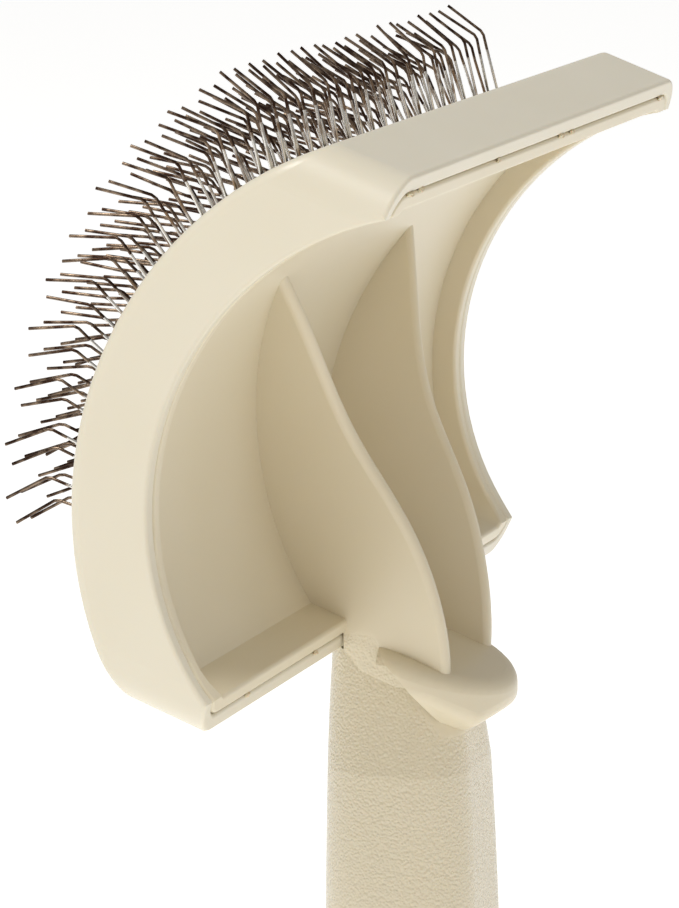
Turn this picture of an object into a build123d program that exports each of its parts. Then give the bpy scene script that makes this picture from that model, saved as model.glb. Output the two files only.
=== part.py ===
from build123d import *
from math import cos, radians, sin, sqrt
import os

os.makedirs("parts", exist_ok=True)

# Curved slicker brush, millimetres. +Z runs up the handle to the head, the pins point to -Y and
# the head's width lies along X. The origin is the centre of the hang hole in the handle's end.

# ---- driving dimensions ----
HEAD_WIDTH = 110.0        # across the head, along X
HEAD_CHORD = 64.0         # head height, straight across the curve
HEAD_LEAN = 20.7          # degrees the head tips back from the handle
HEAD_HEIGHT = 153.0       # middle of the chord above the hang hole
HEAD_SETBACK = -3.0       # middle of the chord, along Y
CORNER_RADIUS = 5.5       # upright corners of the head

FACE_RADIUS = 41.8        # pin side of the frame
FACING_RADIUS = 40.6      # pin side of the rubber facing
CLOTH_RADIUS = 40.3
CROWN_RADIUS = 39.55      # where the staple crowns lie
FOAM_RADIUS = 39.3
PLATE_RADIUS = 38.0       # pin side of the back plate
HOLLOW_RADIUS = 36.0      # concave back of the back plate
RIM_RADIUS = 33.0         # back edge of the side walls
WALL_BACK = 9.0           # how far the end walls reach behind the chord
CLOTH_BACK = 39.8
FOAM_BACK = 38.05

FRAME_WALL = 2.0
RIM_WALL = 1.9
PARTING_GAP = 0.12        # groove between the frame and the back moulding
LIP_ROUND = 0.45

PAD_WIDTH = 94.0          # window in the frame
PAD_TOP = 41.5            # degrees up the curve from its middle
PAD_BOTTOM = -35.0
PAD_CORNER = 10.0
PAD_TUCK = 2.5            # pad edge held under the frame

WIRE = 0.36               # diameter of the pin wire
HOLE_CLEARANCE = 0.02     # the facing grips the wire closely
PIN_PITCH = 4.25          # legs of one staple, and neighbours in a row
ROW_STAPLES = 10
ROW_COUNT = 20
ROW_TOP = 33.5            # degrees up the curve, at the crown
ROW_BOTTOM = -27.2
SHAFT_LEAN = 22.5         # shafts lean away from the handle
KNEE_BEND = 41.0          # and the points bend back towards it
SHAFT_LENGTH = 10.8       # crown to knee
POINT_LENGTH = 5.5
KNEE_RADIUS = 0.9
CROWN_CORNER = 0.5

RIB_THICKNESS = 1.9
RIB_ROUND = 0.8
REST_WIDTH = 21.6
REST_MIDDLE = 2.8         # along Y
REST_TIP = 12.4
REST_ROUND = 1.9

HANDLE_WALL_WIDTH = 17.0  # cored middle of the handle
HANDLE_WALL_DEPTH = 11.0
CORE_TOP = 92.0
PLUG_TOP = 8.0
HANDLE_END = -7.0
END_WIDTH = 22.4
END_DEPTH = 17.0
SPIGOT_LENGTH = 12.0
SPIGOT_CLEARANCE = 0.1
HANG_HOLE_RADIUS = 2.5
HANG_HOLE_CHAMFER = 0.6

# ---- the head's own planes ----
FACE_CENTRE = sqrt(FACE_RADIUS**2 - (HEAD_CHORD / 2) ** 2)
DRAW = Vector(0, -cos(radians(HEAD_LEAN)), sin(radians(HEAD_LEAN)))
UP_HEAD = Vector(0, sin(radians(HEAD_LEAN)), cos(radians(HEAD_LEAN)))
CHORD_MIDDLE = Vector(0, HEAD_SETBACK, HEAD_HEIGHT)
CURVE_CENTRE = CHORD_MIDDLE - DRAW * FACE_CENTRE

head_plane = Plane(origin=CHORD_MIDDLE, x_dir=(1, 0, 0), z_dir=DRAW)      # X across, Y up the head
curve_plane = Plane(origin=CURVE_CENTRE, x_dir=DRAW, z_dir=(-1, 0, 0))    # side view of the curve


def side_point(out, up):
    """Side-view (Y, Z) of a point given in the head's own directions."""
    place = CHORD_MIDDLE + DRAW * out + UP_HEAD * up
    return (place.Y, place.Z)


def curved_block(outer, width, height, corner, middle=0.0, back=WALL_BACK, inner=None):
    """A rounded block drawn along the head's draw direction, its faces cut to the curve."""
    with BuildPart() as block:
        with BuildSketch(head_plane.offset(-back)) as outline:
            with Locations((0, middle)):
                RectangleRounded(width, height, corner)
        extrude(amount=back + FACE_RADIUS)
        with BuildSketch(curve_plane) as disc:
            Circle(outer)
        extrude(amount=HEAD_WIDTH, both=True, mode=Mode.INTERSECT)
        if inner is not None:
            with BuildSketch(curve_plane) as bore:
                Circle(inner)
            extrude(amount=HEAD_WIDTH, both=True, mode=Mode.SUBTRACT)
    return block.part


def at_back(point):
    """True on the level or the curved part of the walls' back rim."""
    place = point - CURVE_CENTRE
    from_axis = sqrt(place.Y**2 + place.Z**2)
    return abs(place.dot(DRAW) - FACE_CENTRE + WALL_BACK) < 0.01 or abs(from_axis - RIM_RADIUS) < 0.01


def rim_edges(walls):
    """Edges that run along the walls' back rim, without the short straight ones across it."""
    along = [e for e in walls.edges() if at_back(e @ 0.3) and at_back(e @ 0.7)]
    return ShapeList([e for e in along if e.geom_type != GeomType.LINE or e.length > 2 * RIM_WALL])


# ---- pad outline, worked out on the curve ----
pad_high = FACING_RADIUS * sin(radians(PAD_TOP))
pad_low = FACING_RADIUS * sin(radians(PAD_BOTTOM))
pad_height = pad_high - pad_low
pad_middle = (pad_high + pad_low) / 2


# ---- head frame: outer walls and the lip that holds the pad ----
inside_width = HEAD_WIDTH - 2 * FRAME_WALL
inside_chord = HEAD_CHORD - 2 * FRAME_WALL
inside_corner = CORNER_RADIUS - FRAME_WALL
pocket = curved_block(FACING_RADIUS, inside_width, inside_chord, inside_corner, back=2 * WALL_BACK)

with BuildPart() as head_frame:
    add(curved_block(FACE_RADIUS, HEAD_WIDTH, HEAD_CHORD, CORNER_RADIUS, inner=RIM_RADIUS))
    face_edges = head_frame.faces().filter_by(GeomType.CYLINDER).sort_by(Axis.Y)[0].edges()
    fillet(face_edges, radius=1.2)
    add(pocket, mode=Mode.SUBTRACT)
    with BuildSketch(head_plane) as window:
        with Locations((0, pad_middle)):
            RectangleRounded(PAD_WIDTH, pad_height, PAD_CORNER)
    extrude(amount=FACE_RADIUS, mode=Mode.SUBTRACT)
    fillet(rim_edges(head_frame), radius=LIP_ROUND)
head_frame.part.label = "head_frame"
export_step(head_frame.part, "parts/head_frame.step")


# ---- brush body: back plate with its rim, two ribs, thumb rest and handle in one moulding ----
rim_gap = FRAME_WALL + PARTING_GAP
rim_width = HEAD_WIDTH - 2 * rim_gap
rim_chord = HEAD_CHORD - 2 * rim_gap
rim_corner = CORNER_RADIUS - rim_gap
hollow_width = rim_width - 2 * RIM_WALL
hollow_chord = rim_chord - 2 * RIM_WALL
hollow_corner = rim_corner - RIM_WALL + 1.0
head_space = curved_block(
    FACE_RADIUS, HEAD_WIDTH + 0.3, HEAD_CHORD + 0.3, CORNER_RADIUS, back=WALL_BACK + 0.15
)
hollow = curved_block(HOLLOW_RADIUS, hollow_width, hollow_chord, hollow_corner, back=2 * WALL_BACK)

with BuildPart() as tray:
    add(curved_block(PLATE_RADIUS, rim_width, rim_chord, rim_corner, inner=RIM_RADIUS))
    add(hollow, mode=Mode.SUBTRACT)
    fillet(rim_edges(tray), radius=LIP_ROUND)

# height, width, depth, corner radius and front face (Y) of the sections
GRIP_SECTIONS = (
    (PLUG_TOP, END_WIDTH, END_DEPTH, 7.0, -END_DEPTH / 2),
    (40.0, 23.6, 18.2, 7.6, -8.8),
    (73.0, 23.5, 18.2, 7.6, -8.65),
    (106.0, 20.4, 16.9, 6.8, -8.45),
)
NECK_SECTIONS = (
    (106.0, 20.4, 16.9, 6.8, -8.45),
    (116.0, 16.2, 15.3, 5.6, -8.4),
    (124.0, 13.0, 13.4, 4.8, -8.2),
)


def blend_sections(sections):
    """A smooth solid through level rounded rectangles."""
    with BuildPart() as length:
        for height, width, depth, corner, front in sections:
            with BuildSketch(Plane.XY.offset(height)) as section:
                with Locations((0, front + depth / 2)):
                    RectangleRounded(width, depth, corner)
        loft()
    return length.part


with BuildPart() as grip:
    add(blend_sections(GRIP_SECTIONS))
    add(blend_sections(NECK_SECTIONS))
    with BuildSketch(Plane.YZ) as above_floor:
        with BuildLine() as floor_outline:
            Polyline((-4.6, 121.8), (2.5, 119.9), (7.0, 118.2), (20.0, 113.5))
            Polyline((20.0, 113.5), (20.0, 130.0), (-4.6, 130.0), (-4.6, 121.8))
        make_face()
    extrude(amount=END_WIDTH, both=True, mode=Mode.SUBTRACT)

# the two ribs spread as they climb from the thumb rest into the hollow
with BuildPart() as ribs:
    with BuildSketch(head_plane.offset(-30)) as rib_plan:
        with BuildLine() as rib_line:
            ThreePointArc((7.3, -33), (11.6, -12), (24.2, 12))
        trace(line_width=RIB_THICKNESS)
    extrude(amount=45)
    with BuildSketch(Plane.YZ) as rib_side:
        with BuildLine() as rib_edge:
            free_edge = Spline(
                side_point(8.6, 10.5),
                side_point(4.0, 4.0),
                side_point(-3.4, -6.0),
                side_point(-12.0, -13.8),
                side_point(-18.3, -21.6),
                side_point(-21.2, -27.0),
                side_point(-22.6, -31.0),
            )
            Polyline(
                free_edge @ 1,
                side_point(-14.0, -34.0),
                side_point(-WALL_BACK - 0.6, -31.5),
                side_point(-WALL_BACK + 0.2, -29.2),
                side_point(-1.0, -29.2),
                side_point(4.5, -22.0),
            )
            ThreePointArc(side_point(4.5, -22.0), side_point(10.0, -6.0), side_point(8.6, 10.5))
        make_face()
    extrude(amount=40, both=True, mode=Mode.INTERSECT)
    rib_back = ribs.faces().filter_by(GeomType.EXTRUSION).sort_by(SortBy.AREA)[-1]
    fillet(rib_back.edges().filter_by(GeomType.LINE, reverse=True), radius=RIB_ROUND)
    mirror(about=Plane.YZ)

# the thumb rest: an oval tongue seen from above, a wedge from the side, an apron from behind
with BuildPart() as thumb_rest:
    with BuildSketch(Plane.XY.offset(100)) as rest_plan:
        with Locations((0, REST_MIDDLE)):
            Ellipse(REST_WIDTH / 2, REST_TIP - REST_MIDDLE)
    extrude(amount=30)
    with BuildSketch(Plane.YZ) as rest_side:
        with BuildLine() as rest_outline:
            Polyline((-0.8, 121.0), (2.5, 119.9), (7.0, 118.2), (REST_TIP + 1, 115.9))
            Polyline((REST_TIP + 1, 115.9), (REST_TIP + 1, 113.8), (9.0, 111.3), (2.0, 105.0))
            Polyline((2.0, 105.0), (-0.8, 105.0), (-0.8, 121.0))
        make_face()
    extrude(amount=REST_WIDTH, both=True, mode=Mode.INTERSECT)
    with BuildSketch(Plane.XZ) as apron:
        with BuildLine() as apron_outline:
            ThreePointArc((-11.0, 116.5), (0, 110.0), (11.0, 116.5))
            Polyline((11.0, 116.5), (11.0, 124.0), (-11.0, 124.0), (-11.0, 116.5))
        make_face()
    extrude(amount=30, both=True, mode=Mode.INTERSECT)
    fillet(thumb_rest.edges().filter_by_position(Axis.Y, 3.0, 20.0), radius=REST_ROUND)
    with BuildSketch(Plane.YZ) as rest_foot:
        with BuildLine() as foot_outline:
            ThreePointArc((6.6, 110.2), (4.0, 115.4), (0.6, 119.0))
            Polyline((0.6, 119.0), (-2.0, 119.0), (-2.0, 104.0), (6.6, 104.0), (6.6, 110.2))
        make_face()
    extrude(amount=REST_WIDTH, both=True, mode=Mode.SUBTRACT)

with BuildPart() as brush_body:
    add(grip.part)
    add(thumb_rest.part)
    add(ribs.part)
    add(head_space, mode=Mode.SUBTRACT)
    add(tray.part)
    add(ribs.part)
    with BuildSketch(Plane.XY.offset(PLUG_TOP)) as core:
        RectangleRounded(HANDLE_WALL_WIDTH, HANDLE_WALL_DEPTH, 4.5)
    extrude(amount=CORE_TOP - PLUG_TOP, mode=Mode.SUBTRACT)
brush_body.part.label = "brush_body"
export_step(brush_body.part, "parts/brush_body.step")


# ---- one wire staple and the rows of them ----
# drawn with X along the row, Y up the curve and Z straight out of the curve
leg = PIN_PITCH / 2
knee_rise = SHAFT_LENGTH * sin(radians(SHAFT_LEAN))
knee_out = SHAFT_LENGTH * cos(radians(SHAFT_LEAN))
tip_rise = knee_rise - POINT_LENGTH * sin(radians(KNEE_BEND - SHAFT_LEAN))
tip_out = knee_out + POINT_LENGTH * cos(radians(KNEE_BEND - SHAFT_LEAN))
with BuildPart() as staple:
    with BuildLine() as wire_line:
        FilletPolyline(
            (-leg, tip_rise, tip_out),
            (-leg, knee_rise, knee_out),
            (-leg, 0, 0),
            (leg, 0, 0),
            (leg, knee_rise, knee_out),
            (leg, tip_rise, tip_out),
            radius=[KNEE_RADIUS, CROWN_CORNER, CROWN_CORNER, KNEE_RADIUS],
        )
    with BuildSketch(Plane(origin=wire_line.line @ 0, z_dir=wire_line.line % 0)) as wire_end:
        Circle(WIRE / 2)
    sweep()


def row_place(row):
    """Crown plane of a row: its middle, shifted a quarter pitch to either side in turn."""
    angle = radians(ROW_BOTTOM + row * (ROW_TOP - ROW_BOTTOM) / (ROW_COUNT - 1))
    outward = DRAW * cos(angle) + UP_HEAD * sin(angle)
    shift = PIN_PITCH / 4 if row % 2 else -PIN_PITCH / 4
    middle = CURVE_CENTRE + outward * CROWN_RADIUS + Vector(shift, 0, 0)
    return Plane(origin=middle, x_dir=(1, 0, 0), z_dir=outward)


staple_offsets = [2 * PIN_PITCH * (i - (ROW_STAPLES - 1) / 2) for i in range(ROW_STAPLES)]
for row in range(ROW_COUNT):
    row_name = f"staple_row_{row + 1:02d}"
    with BuildPart() as staple_row:
        with Locations(*[row_place(row).location * Location((x, 0, 0)) for x in staple_offsets]):
            add(staple.part)
    staple_row.part.label = row_name
    export_step(staple_row.part, f"parts/{row_name}.step")


# ---- pad layers: rubber facing and cloth pierced by the shafts, foam under the crowns ----
def pad_layer(outer, inner):
    """One curved sheet of the pad, its edge tucked under the frame."""
    width = PAD_WIDTH + 2 * PAD_TUCK
    height = pad_height + 2 * PAD_TUCK
    return curved_block(outer, width, height, PAD_CORNER + PAD_TUCK, middle=pad_middle, inner=inner)


with BuildPart() as needle:
    with Locations(Location((0, 0, 0), (-SHAFT_LEAN, 0, 0))):
        Cylinder(WIRE / 2 + HOLE_CLEARANCE, 3.0, align=(Align.CENTER, Align.CENTER, Align.MIN))

shaft_places = []
for row in range(ROW_COUNT):
    for x in staple_offsets:
        shaft_places.append(row_place(row).location * Location((x - leg, 0, 0)))
        shaft_places.append(row_place(row).location * Location((x + leg, 0, 0)))

with BuildPart() as pad_facing:
    add(pad_layer(FACING_RADIUS, CLOTH_RADIUS))
    with Locations(*shaft_places):
        add(needle.part, mode=Mode.SUBTRACT)
pad_facing.part.label = "pad_facing"
export_step(pad_facing.part, "parts/pad_facing.step")

with BuildPart() as pad_cloth:
    add(pad_layer(CLOTH_RADIUS, CLOTH_BACK))
    with Locations(*shaft_places):
        add(needle.part, mode=Mode.SUBTRACT)
pad_cloth.part.label = "pad_cloth"
export_step(pad_cloth.part, "parts/pad_cloth.step")

with BuildPart() as foam_cushion:
    add(pad_layer(FOAM_RADIUS, FOAM_BACK))
foam_cushion.part.label = "foam_cushion"
export_step(foam_cushion.part, "parts/foam_cushion.step")


# ---- end plug: closes the handle's core and carries the hang hole ----
with BuildPart() as end_plug:
    with BuildSketch(Plane.XY.offset(HANDLE_END)) as cap:
        RectangleRounded(END_WIDTH, END_DEPTH, 7.0)
    extrude(amount=PLUG_TOP - HANDLE_END)
    fillet(end_plug.faces().sort_by(Axis.Z)[0].edges(), radius=5.0)
    with BuildSketch(Plane.XY.offset(PLUG_TOP)) as spigot:
        RectangleRounded(
            HANDLE_WALL_WIDTH - 2 * SPIGOT_CLEARANCE,
            HANDLE_WALL_DEPTH - 2 * SPIGOT_CLEARANCE,
            4.5 - SPIGOT_CLEARANCE,
        )
    extrude(amount=SPIGOT_LENGTH)
    chamfer(end_plug.faces().sort_by(Axis.Z)[-1].edges(), length=0.8)
    with BuildSketch(Plane.XZ) as hang_hole:
        Circle(HANG_HOLE_RADIUS)
    extrude(amount=END_DEPTH, both=True, mode=Mode.SUBTRACT)
    circles = end_plug.edges().filter_by(GeomType.CIRCLE)
    mouths = circles.filter_by(lambda e: abs(e.radius - HANG_HOLE_RADIUS) < 0.01)
    chamfer(mouths, length=HANG_HOLE_CHAMFER)
end_plug.part.label = "end_plug"
export_step(end_plug.part, "parts/end_plug.step")
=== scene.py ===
import bpy
import math
import random
from mathutils import Matrix, Vector


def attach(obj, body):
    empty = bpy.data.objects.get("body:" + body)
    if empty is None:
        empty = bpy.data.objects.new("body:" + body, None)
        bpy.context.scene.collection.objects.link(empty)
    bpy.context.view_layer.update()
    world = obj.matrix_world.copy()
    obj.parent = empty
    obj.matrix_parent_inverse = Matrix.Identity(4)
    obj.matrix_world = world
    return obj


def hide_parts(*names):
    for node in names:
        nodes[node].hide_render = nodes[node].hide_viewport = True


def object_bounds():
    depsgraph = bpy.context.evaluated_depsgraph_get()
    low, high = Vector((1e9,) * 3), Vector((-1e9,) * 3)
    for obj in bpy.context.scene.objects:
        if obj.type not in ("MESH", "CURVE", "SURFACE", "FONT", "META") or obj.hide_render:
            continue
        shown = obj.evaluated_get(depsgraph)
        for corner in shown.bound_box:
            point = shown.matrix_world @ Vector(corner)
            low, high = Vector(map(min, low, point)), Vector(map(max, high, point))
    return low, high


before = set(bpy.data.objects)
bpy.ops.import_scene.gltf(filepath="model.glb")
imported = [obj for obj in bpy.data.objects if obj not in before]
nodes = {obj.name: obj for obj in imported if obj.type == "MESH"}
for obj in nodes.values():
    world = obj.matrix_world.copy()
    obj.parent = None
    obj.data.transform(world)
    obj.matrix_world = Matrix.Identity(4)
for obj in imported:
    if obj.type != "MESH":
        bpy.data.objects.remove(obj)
first_low, first_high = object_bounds()


# ---- Head frame ----
# The outer walls of the head and the lip round the pad: one ivory ABS moulding from a smooth,
# satin tool, welded round the back moulding.


def linear(hex_colour):
    """An sRGB hex colour as linear RGBA."""
    parts = [int(hex_colour[i : i + 2], 16) / 255 for i in (1, 3, 5)]
    flat = [p / 12.92 if p <= 0.04045 else ((p + 0.055) / 1.055) ** 2.4 for p in parts]
    return (*flat, 1.0)


def add_node(tree, kind, links=None, values=None, **settings):
    """Adds a node with its settings, its socket values and the sockets that feed it."""
    node = tree.nodes.new(kind)
    for key, value in settings.items():
        setattr(node, key, value)
    for key, value in (values or {}).items():
        node.inputs[key].default_value = value
    for key, socket in (links or {}).items():
        tree.links.new(socket, node.inputs[key])
    return node


def new_material(name, viewport):
    """An empty node material with its output, and the tree it lives in."""
    material = bpy.data.materials.new(name)
    material.use_nodes = True
    material.diffuse_color = linear(viewport)
    material.node_tree.nodes.clear()
    return material, material.node_tree


def wear(node_name, material):
    """Gives a CAD node its finish."""
    mesh = nodes[node_name].data
    mesh.materials.clear()
    mesh.materials.append(material)


def moulded_skin(tree, low, high):
    """Object coordinates, a colour with faint flow marks, and the fine skin of a satin mould."""
    place = add_node(tree, "ShaderNodeTexCoord").outputs["Object"]
    skin = add_node(tree, "ShaderNodeTexNoise", {"Vector": place}, {"Scale": 2600.0, "Detail": 2.0})
    flow = add_node(tree, "ShaderNodeTexNoise", {"Vector": place}, {"Scale": 55.0, "Detail": 1.0})
    tint = add_node(tree, "ShaderNodeMix", {"Factor": flow.outputs["Fac"]}, data_type="RGBA")
    tint.inputs["A"].default_value = linear(low)
    tint.inputs["B"].default_value = linear(high)
    relief = add_node(
        tree, "ShaderNodeBump", {"Height": skin.outputs["Fac"]}, {"Strength": 0.12, "Distance": 0.00003}
    )
    return place, tint.outputs["Result"], relief.outputs["Normal"]


def moulded_abs(tree, colour, normal):
    """Glossy ABS that lets light in by about a millimetre, joined to the material's output."""
    shine = add_node(
        tree,
        "ShaderNodeBsdfPrincipled",
        {"Base Color": colour, "Normal": normal},
        {"IOR": 1.53, "Subsurface Weight": 0.12, "Subsurface Scale": 0.0012},
    )
    shine.inputs["Subsurface Radius"].default_value = (1.0, 0.7, 0.4)
    add_node(tree, "ShaderNodeOutputMaterial", {"Surface": shine.outputs["BSDF"]})
    return shine


IVORY = "#DDD2B6"
SATIN = 0.37

# ABS, injection moulded against a satin tool: soft wide highlights, a faint flow unevenness
satin_abs, tree = new_material("ABS moulded satin", IVORY)
place, colour, normal = moulded_skin(tree, "#D9D1BB", "#DFD8C5")
shine = moulded_abs(tree, colour, normal)
shine.inputs["Roughness"].default_value = SATIN
wear("head_frame", satin_abs)


# ---- Brush body ----
# Back plate, inner rim, ribs, thumb rest and handle are one ivory ABS moulding. The head, the ribs
# and the thumb rest are satin, and the handle is spark-eroded to a fine pebble grain for grip.
PEBBLE = 0.0003
PEBBLE_HEIGHT = 0.00011
PEBBLE_GLOSS = 0.19
GRAIN_TOP = 0.110
GRAIN_LINE = 0.0661
LINE_WAY = (0.0, 0.832, 0.555)
HEAD_BOTTOM = 0.1215

grip_abs, tree = new_material("ABS moulded with pebble-grained grip", IVORY)
place, colour, normal = moulded_skin(tree, "#D6CBAF", "#DCD2BA")
axes = add_node(tree, "ShaderNodeSeparateXYZ", {"Vector": place})
# the grain stops 110 mm up the back of the handle, and from there along a line that climbs
# forward under the thumb rest to the head's lower wall
slant = add_node(tree, "ShaderNodeVectorMath", {0: place}, {1: LINE_WAY}, operation="DOT_PRODUCT")
beside = add_node(
    tree,
    "ShaderNodeMapRange",
    {"Value": slant.outputs["Value"]},
    {"From Min": GRAIN_LINE + 0.0006, "From Max": GRAIN_LINE},
)
below = add_node(
    tree,
    "ShaderNodeMapRange",
    {"Value": axes.outputs["Z"]},
    {"From Min": GRAIN_TOP + 0.0006, "From Max": GRAIN_TOP},
)
grain_outline = add_node(
    tree, "ShaderNodeMath", {0: beside.outputs[0], 1: below.outputs[0]}, operation="MAXIMUM", use_clamp=True
)
below_head = add_node(
    tree,
    "ShaderNodeMapRange",
    {"Value": axes.outputs["Z"]},
    {"From Min": HEAD_BOTTOM + 0.001, "From Max": HEAD_BOTTOM},
)
grain_area = add_node(
    tree, "ShaderNodeMath", {0: grain_outline.outputs[0], 1: below_head.outputs[0]}, operation="MULTIPLY"
)
pebbles = add_node(
    tree, "ShaderNodeTexVoronoi", {"Vector": place}, {"Scale": 1 / PEBBLE}, feature="SMOOTH_F1"
)
pebble_height = add_node(
    tree, "ShaderNodeMath", {0: pebbles.outputs["Distance"], 1: grain_area.outputs[0]}, operation="MULTIPLY"
)
relief = add_node(
    tree,
    "ShaderNodeBump",
    {"Height": pebble_height.outputs[0], "Normal": normal},
    {"Strength": 0.9, "Distance": PEBBLE_HEIGHT},
    invert=True,
)
gloss = add_node(
    tree, "ShaderNodeMapRange", {"Value": grain_area.outputs[0]}, {"To Min": SATIN, "To Max": PEBBLE_GLOSS}
)
shine = moulded_abs(tree, colour, relief.outputs["Normal"])
tree.links.new(gloss.outputs[0], shine.inputs["Roughness"])
wear("brush_body", grip_abs)


# ---- End plug ----
# A separate ivory ABS cap with a spigot pressed into the handle's core, and the hang hole through
# it. Satin, like the head.
wear("end_plug", satin_abs)


# ---- Pad ----
# Three layers under the frame's lip: a black natural-rubber facing, a cotton cloth and a soft foam.
# The staples go through the facing and the cloth, and their crowns press on the foam.
facing_rubber, tree = new_material("natural rubber calendered sheet", "#1F1D1B")
place = add_node(tree, "ShaderNodeTexCoord")
dust = add_node(
    tree, "ShaderNodeTexNoise", {"Vector": place.outputs["Object"]}, {"Scale": 900.0, "Detail": 3.0}
)
relief = add_node(
    tree, "ShaderNodeBump", {"Height": dust.outputs["Fac"]}, {"Strength": 0.3, "Distance": 0.00005}
)
shine = add_node(
    tree, "ShaderNodeBsdfPrincipled", {"Normal": relief.outputs["Normal"]}, {"Roughness": 0.75, "IOR": 1.52}
)
shine.inputs["Base Color"].default_value = linear("#26231F")
add_node(tree, "ShaderNodeOutputMaterial", {"Surface": shine.outputs["BSDF"]})
wear("pad_facing", facing_rubber)

# cotton plain weave at 0.4 mm thread spacing: only its cut edge could ever be seen
THREAD = 0.0004
pad_cotton, tree = new_material("cotton plain weave", "#A89F8A")
place = add_node(tree, "ShaderNodeTexCoord")
warp = add_node(
    tree,
    "ShaderNodeTexWave",
    {"Vector": place.outputs["Object"]},
    {"Scale": 1 / (THREAD * 20)},
    bands_direction="X",
)
relief = add_node(
    tree, "ShaderNodeBump", {"Height": warp.outputs["Fac"]}, {"Strength": 0.5, "Distance": 0.0001}
)
shine = add_node(tree, "ShaderNodeBsdfPrincipled", {"Normal": relief.outputs["Normal"]}, {"Roughness": 0.9})
shine.inputs["Base Color"].default_value = linear("#A89F8A")
add_node(tree, "ShaderNodeOutputMaterial", {"Surface": shine.outputs["BSDF"]})
wear("pad_cloth", pad_cotton)

# closed-cell rubber foam, skived sheet: dull, with cells under a millimetre
CELL = 0.0007
pad_foam, tree = new_material("closed-cell foam skived", "#5A564F")
place = add_node(tree, "ShaderNodeTexCoord")
cells = add_node(tree, "ShaderNodeTexVoronoi", {"Vector": place.outputs["Object"]}, {"Scale": 1 / CELL})
relief = add_node(
    tree, "ShaderNodeBump", {"Height": cells.outputs["Distance"]}, {"Strength": 0.6, "Distance": 0.0002}
)
shine = add_node(tree, "ShaderNodeBsdfPrincipled", {"Normal": relief.outputs["Normal"]}, {"Roughness": 0.95})
shine.inputs["Base Color"].default_value = linear("#5A564F")
add_node(tree, "ShaderNodeOutputMaterial", {"Surface": shine.outputs["BSDF"]})
wear("foam_cushion", pad_foam)


# ---- Wire staples ----
# Hard drawn steel wire, cut and bent into staples with two legs each, every leg bent again at a
# knee. The points, knees and shaft tops carry painted shade, a darker copy of the steel standing
# for their dark reflections; the rest of the shafts stay bright, and no two lie quite alike.
WIRE = 0.00036
PITCH = 0.00425
SHAFT = 0.0105
POINT = 0.0053
LEAN = math.radians(22.5)
KNEE = math.radians(41.0)
KNEE_RADIUS = 0.0009
CROWN_CORNER = 0.0005
ROWS = 20
STAPLES = 10
ROW_TOP = 33.5
ROW_BOTTOM = -27.2
CROWN_CURVE = 0.03955
FACE_CURVE = 0.0418
HALF_CHORD = 0.032
HEAD_LEAN = math.radians(20.7)
HEAD_MIDDLE = Vector((0, -0.003, 0.153))
# a leg's vertices lie further out than LEG_FROM, and it turns about a foot FOOT above the crown
LEG_FROM = 0.0012
FOOT = 0.0009

bright_wire, tree = new_material("spring steel wire drawn bright", "#B9B6B0")
place = add_node(tree, "ShaderNodeTexCoord")
marks = add_node(
    tree, "ShaderNodeTexNoise", {"Vector": place.outputs["Object"]}, {"Scale": 420.0, "Detail": 2.0}
)
tone = add_node(tree, "ShaderNodeValToRGB", {"Fac": marks.outputs["Fac"]})
tone.color_ramp.elements[0].position = 0.38
tone.color_ramp.elements[0].color = linear("#86705A")
tone.color_ramp.elements[1].position = 0.52
tone.color_ramp.elements[1].color = linear("#D9D6D0")
shine = add_node(
    tree,
    "ShaderNodeBsdfPrincipled",
    {"Base Color": tone.outputs["Color"]},
    {"Metallic": 1.0, "Roughness": 0.17},
)
add_node(tree, "ShaderNodeOutputMaterial", {"Surface": shine.outputs["BSDF"]})

# painted shade: a darker copy of the wire's steel, standing for the dark reflections on the points, knees
# and shaft tops
wire_painted_shade, tree = new_material("spring steel wire with painted shade", "#3A312B")
place = add_node(tree, "ShaderNodeTexCoord")
marks = add_node(
    tree, "ShaderNodeTexNoise", {"Vector": place.outputs["Object"]}, {"Scale": 700.0, "Detail": 2.0}
)
tone = add_node(tree, "ShaderNodeValToRGB", {"Fac": marks.outputs["Fac"]})
tone.color_ramp.elements[0].position = 0.42
tone.color_ramp.elements[0].color = linear("#3B2A20")
tone.color_ramp.elements[1].position = 0.66
tone.color_ramp.elements[1].color = linear("#8E7B68")
shine = add_node(
    tree,
    "ShaderNodeBsdfPrincipled",
    {"Base Color": tone.outputs["Color"]},
    {"Metallic": 1.0, "Roughness": 0.24},
)
add_node(tree, "ShaderNodeOutputMaterial", {"Surface": shine.outputs["BSDF"]})


def pull(step, turn=0.0, axis="X"):
    """Extrudes the chosen ring by a step and turns it about its own middle."""
    bpy.ops.mesh.extrude_region_move(TRANSFORM_OT_translate={"value": step})
    mesh = bpy.context.edit_object
    mesh.update_from_editmode()
    ring = [v.co for v in mesh.data.vertices if v.select]
    middle = sum(ring, Vector()) / len(ring)
    if turn:
        bpy.ops.transform.rotate(value=-turn, orient_axis=axis, center_override=middle)


def bend_leg(side, lean, splay, knee):
    """Turns one leg a little about its foot, and its point a little about the knee."""
    for above, centre, turn, axis in (
        (0.0006, (side * PITCH / 2, 0, FOOT), lean, "X"),
        (0.0006, (side * PITCH / 2, 0, FOOT), splay, "Y"),
        (SHAFT - 0.0012, (side * PITCH / 2, 0, SHAFT), knee, "X"),
    ):
        bpy.ops.object.mode_set(mode="OBJECT")
        mesh = bpy.context.object.data
        for v in mesh.vertices:
            v.select = v.co.x * side > LEG_FROM and v.co.z > above
        bpy.ops.object.mode_set(mode="EDIT")
        bpy.ops.transform.rotate(value=-turn, orient_axis=axis, center_override=centre)


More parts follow.
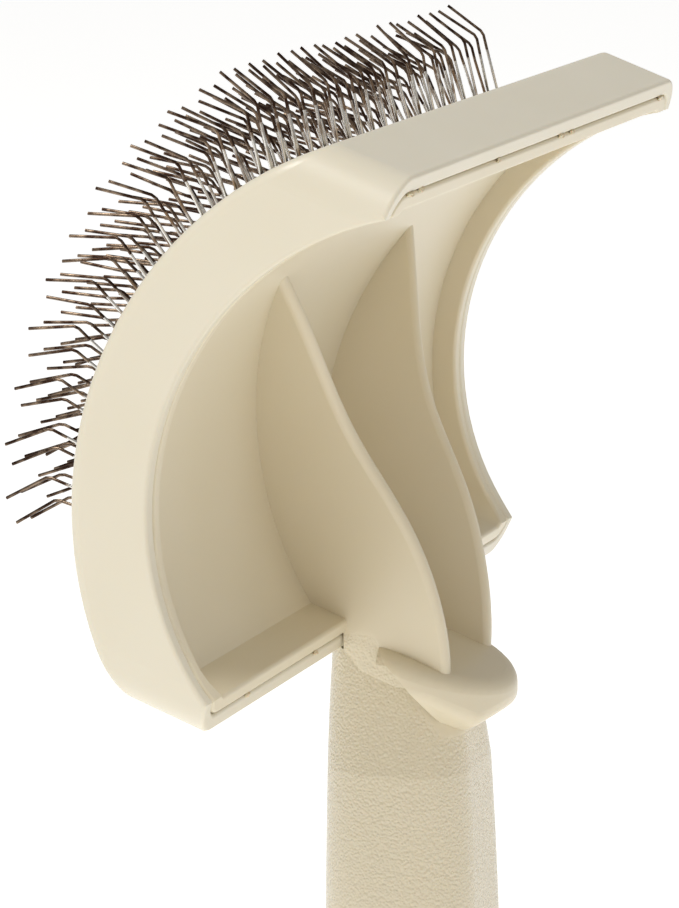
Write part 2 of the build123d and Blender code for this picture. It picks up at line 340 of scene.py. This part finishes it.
def make_staple(name, chance):
    """One staple with its shafts along Z, its crown along X and its knees bent towards -Y."""
    bpy.ops.object.select_all(action="DESELECT")
    tangent = KNEE_RADIUS * math.tan(KNEE / 2)
    point_way = Vector((0, -math.sin(KNEE), math.cos(KNEE)))
    tip = Vector((-PITCH / 2, 0, SHAFT)) + point_way * POINT
    bpy.ops.mesh.primitive_circle_add(
        vertices=6, radius=WIRE / 2, fill_type="NGON", location=tip, rotation=(KNEE, 0, 0)
    )
    staple = bpy.context.object
    staple.name = name
    bpy.ops.object.transform_apply(location=True, rotation=True, scale=True)
    bpy.ops.object.mode_set(mode="EDIT")
    bpy.ops.mesh.select_all(action="SELECT")
    bpy.ops.mesh.select_mode(type="VERT")
    half_way = Vector((0, -math.sin(KNEE / 2), math.cos(KNEE / 2))) * tangent
    corner = CROWN_CORNER * (1 - math.sqrt(0.5))
    # the height up the shaft where the painted shade of the knees and points begins
    painted_shade_start = SHAFT * 0.8
    pull(-point_way * (POINT - tangent))
    pull(-half_way, -KNEE / 2)
    pull(half_way - point_way * tangent - Vector((0, 0, tangent)), -KNEE / 2)
    pull((0, 0, -(SHAFT - tangent - painted_shade_start)))
    pull((0, 0, -(painted_shade_start - CROWN_CORNER)))
    pull((corner, 0, corner - CROWN_CORNER), -math.pi / 4, "Y")
    pull((CROWN_CORNER - corner, 0, -corner), -math.pi / 4, "Y")
    pull((PITCH - 2 * CROWN_CORNER, 0, 0))
    pull((CROWN_CORNER - corner, 0, corner), -math.pi / 4, "Y")
    pull((corner, 0, CROWN_CORNER - corner), -math.pi / 4, "Y")
    pull((0, 0, painted_shade_start - CROWN_CORNER))
    pull((0, 0, SHAFT - tangent - painted_shade_start))
    pull(Vector((0, 0, tangent)) + point_way * tangent - half_way, KNEE / 2)
    pull(half_way, KNEE / 2)
    pull(point_way * (POINT - tangent))
    for side in (-1, 1):
        bend_leg(side, chance.gauss(0, 0.022), chance.gauss(0, 0.02), chance.gauss(0, 0.035))
    bpy.ops.mesh.select_all(action="SELECT")
    bpy.ops.mesh.normals_make_consistent(inside=False)
    bpy.ops.object.mode_set(mode="OBJECT")
    bpy.ops.object.shade_smooth_by_angle(angle=math.radians(65))
    staple.data.materials.append(bright_wire)
    staple.data.materials.append(wire_painted_shade)
    # faces above that height get the painted-shade copy of the steel, the rest the bright steel
    for face in staple.data.polygons:
        face.material_index = 1 if face.center.z > painted_shade_start else 0
    return staple


chance = random.Random(11)
patterns = [make_staple(f"staple_pattern_{i + 1}", chance) for i in range(10)]

# the way the face's middle points, and the way up the head along its chord
draw = Vector((0, -math.cos(HEAD_LEAN), math.sin(HEAD_LEAN)))
up_head = Vector((0, math.sin(HEAD_LEAN), math.cos(HEAD_LEAN)))
face_centre = math.sqrt(FACE_CURVE**2 - HALF_CHORD**2)
curve_centre = HEAD_MIDDLE - draw * face_centre

for row in range(ROWS):
    angle = math.radians(ROW_BOTTOM + row * (ROW_TOP - ROW_BOTTOM) / (ROWS - 1))
    outward = draw * math.cos(angle) + up_head * math.sin(angle)
    along = up_head * math.cos(angle) - draw * math.sin(angle)
    shift = PITCH / 4 if row % 2 else -PITCH / 4
    bpy.ops.object.select_all(action="DESELECT")
    for i in range(STAPLES):
        x = shift + 2 * PITCH * (i - (STAPLES - 1) / 2)
        crown = curve_centre + outward * CROWN_CURVE + Vector((x, 0, 0))
        turned = Matrix(((1, 0, 0), along, outward)).transposed().to_4x4()
        tilt = Matrix.Rotation(-LEAN + chance.gauss(0, 0.018), 4, "X")
        twist = Matrix.Rotation(chance.gauss(0, 0.02), 4, "Z")
        source = chance.choice(patterns)
        copy = source.copy()
        copy.data = source.data.copy()
        bpy.context.collection.objects.link(copy)
        copy.data.transform(Matrix.Translation(crown) @ turned @ tilt @ twist)
        copy.select_set(True)
        bpy.context.view_layer.objects.active = copy
    bpy.ops.object.join()
    wires = bpy.context.object
    wires.name = f"wire_staples_{row + 1:02d}"
    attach(wires, "root")
    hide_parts(f"staple_row_{row + 1:02d}")

for pattern in patterns:
    bpy.data.objects.remove(pattern, do_unlink=True)


# ---- Seam flash ----
# Slivers of ABS squeezed out of the seam between the frame and the back moulding when the two were
# welded, left untrimmed: a shade browner than the mouldings, from the heat.
SEAM_UP = HALF_CHORD - 0.00206
SEAM_BACK = -0.0090

flash_abs, tree = new_material("ABS welded flash", "#C4AE86")
shine = add_node(
    tree, "ShaderNodeBsdfPrincipled", None, {"Roughness": 0.35, "IOR": 1.53, "Subsurface Weight": 0.2}
)
shine.inputs["Base Color"].default_value = linear("#D0C2A2")
shine.inputs["Subsurface Scale"].default_value = 0.001
add_node(tree, "ShaderNodeOutputMaterial", {"Surface": shine.outputs["BSDF"]})

bpy.ops.object.select_all(action="DESELECT")
slivers = []
for number, (across, side, length) in enumerate(
    (
        (0.0485, 1, 0.0022),
        (0.0450, 1, 0.0013),
        (0.0180, 1, 0.0010),
        (-0.0060, 1, 0.0019),
        (-0.0100, 1, 0.0011),
        (-0.0478, 1, 0.0018),
        (0.0400, -1, 0.0011),
        (0.0180, -1, 0.0009),
        (-0.0300, -1, 0.0014),
    )
):
    middle = HEAD_MIDDLE + draw * SEAM_BACK + up_head * SEAM_UP * side + Vector((across, 0, 0))
    bpy.ops.mesh.primitive_ico_sphere_add(subdivisions=2, radius=0.001, location=middle)
    sliver = bpy.context.object
    sliver.scale = (length / 0.002, 0.26, 0.30)
    sliver.rotation_euler = (-HEAD_LEAN, chance.gauss(0, 0.08), chance.gauss(0, 0.08))
    bpy.ops.object.transform_apply(location=True, rotation=True, scale=True)
    bpy.ops.object.mode_set(mode="EDIT")
    bpy.ops.mesh.select_all(action="SELECT")
    bpy.ops.transform.vertex_random(offset=0.00016, uniform=0.4, seed=number)
    bpy.ops.object.mode_set(mode="OBJECT")
    bpy.ops.object.shade_smooth_by_angle(angle=math.radians(50))
    sliver.data.materials.append(flash_abs)
    slivers.append(sliver)
bpy.ops.object.select_all(action="DESELECT")
for sliver in slivers:
    sliver.select_set(True)
bpy.context.view_layer.objects.active = slivers[0]
bpy.ops.object.join()
seam_flash = bpy.context.object
seam_flash.name = "seam_flash"
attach(seam_flash, "root")


# ---- Floor, backdrop and light ----
# A flat white table, lit a little from within so that it washes out, under a pale surround. A
# strong soft box hangs overhead, and a weak warm one stands behind the brush.
bpy.ops.object.select_all(action="DESELECT")
bpy.ops.mesh.primitive_plane_add(size=6.0, location=(0, 0, first_low[2] - 0.0001))
floor = bpy.context.object
floor.name = "floor"
paper, tree = new_material("matt white paper", "#F4F3F0")
shine = add_node(
    tree,
    "ShaderNodeBsdfPrincipled",
    None,
    {"Roughness": 0.9, "Specular IOR Level": 0.2, "Emission Strength": 0.57},
)
shine.inputs["Base Color"].default_value = linear("#F4F3F0")
shine.inputs["Emission Color"].default_value = linear("#FFFFFF")
add_node(tree, "ShaderNodeOutputMaterial", {"Surface": shine.outputs["BSDF"]})
floor.data.materials.append(paper)

world = bpy.data.worlds.new("studio")
world.use_nodes = True
world.node_tree.nodes.clear()
seen = add_node(world.node_tree, "ShaderNodeLightPath")
level = add_node(
    world.node_tree,
    "ShaderNodeMapRange",
    {"Value": seen.outputs["Is Camera Ray"]},
    {"To Min": 0.42, "To Max": 1.05},
)
sky = add_node(world.node_tree, "ShaderNodeBackground", {"Strength": level.outputs[0]})
sky.inputs["Color"].default_value = linear("#FFFFFF")
add_node(world.node_tree, "ShaderNodeOutputWorld", {"Surface": sky.outputs[0]})
bpy.context.scene.world = world


def soft_box(name, place, aim, size, power, tint):
    """A square area light at a place, turned to a point."""
    bpy.ops.object.light_add(type="AREA", location=place)
    lamp = bpy.context.object
    lamp.name = name
    lamp.data.size = size
    lamp.data.energy = power
    lamp.data.color = linear(tint)[:3]
    lamp.rotation_mode = "QUATERNION"
    lamp.rotation_quaternion = (Vector(aim) - Vector(place)).to_track_quat("-Z", "Y")


soft_box("key_soft_box", (0.54, -0.30, 1.28), (0, 0, 0.14), 0.5, 9.8, "#FFFFFF")
soft_box("fill_soft_box", (0.9, 0.7, 0.6), (0, 0, 0.13), 0.5, 0.9, "#FFE2BE")


# ---- Camera ----
# A long lens from beside and a little behind the brush, near the level of the head.
AZIMUTH = math.radians(108.99)
ELEVATION = math.radians(10.27)
ROLL = math.radians(-0.1)
DISTANCE = 0.56266
ASIDE = -0.00519
ABOVE = -0.01149
right = Vector((math.cos(AZIMUTH), math.sin(AZIMUTH), 0))
back = Vector(
    (
        math.sin(AZIMUTH) * math.cos(ELEVATION),
        -math.cos(AZIMUTH) * math.cos(ELEVATION),
        math.sin(ELEVATION),
    )
)
up = back.cross(right)
bpy.ops.object.camera_add()
camera = bpy.context.object
camera.location = HEAD_MIDDLE + right * ASIDE + up * ABOVE + back * DISTANCE
camera.rotation_mode = "QUATERNION"
turned = Matrix((right, up, back)).transposed() @ Matrix.Rotation(ROLL, 3, "Z")
camera.rotation_quaternion = turned.to_quaternion()
camera.data.lens = 196.3
camera.data.clip_start = 0.01
bpy.context.scene.camera = camera
bpy.context.scene.view_settings.view_transform = "Standard"
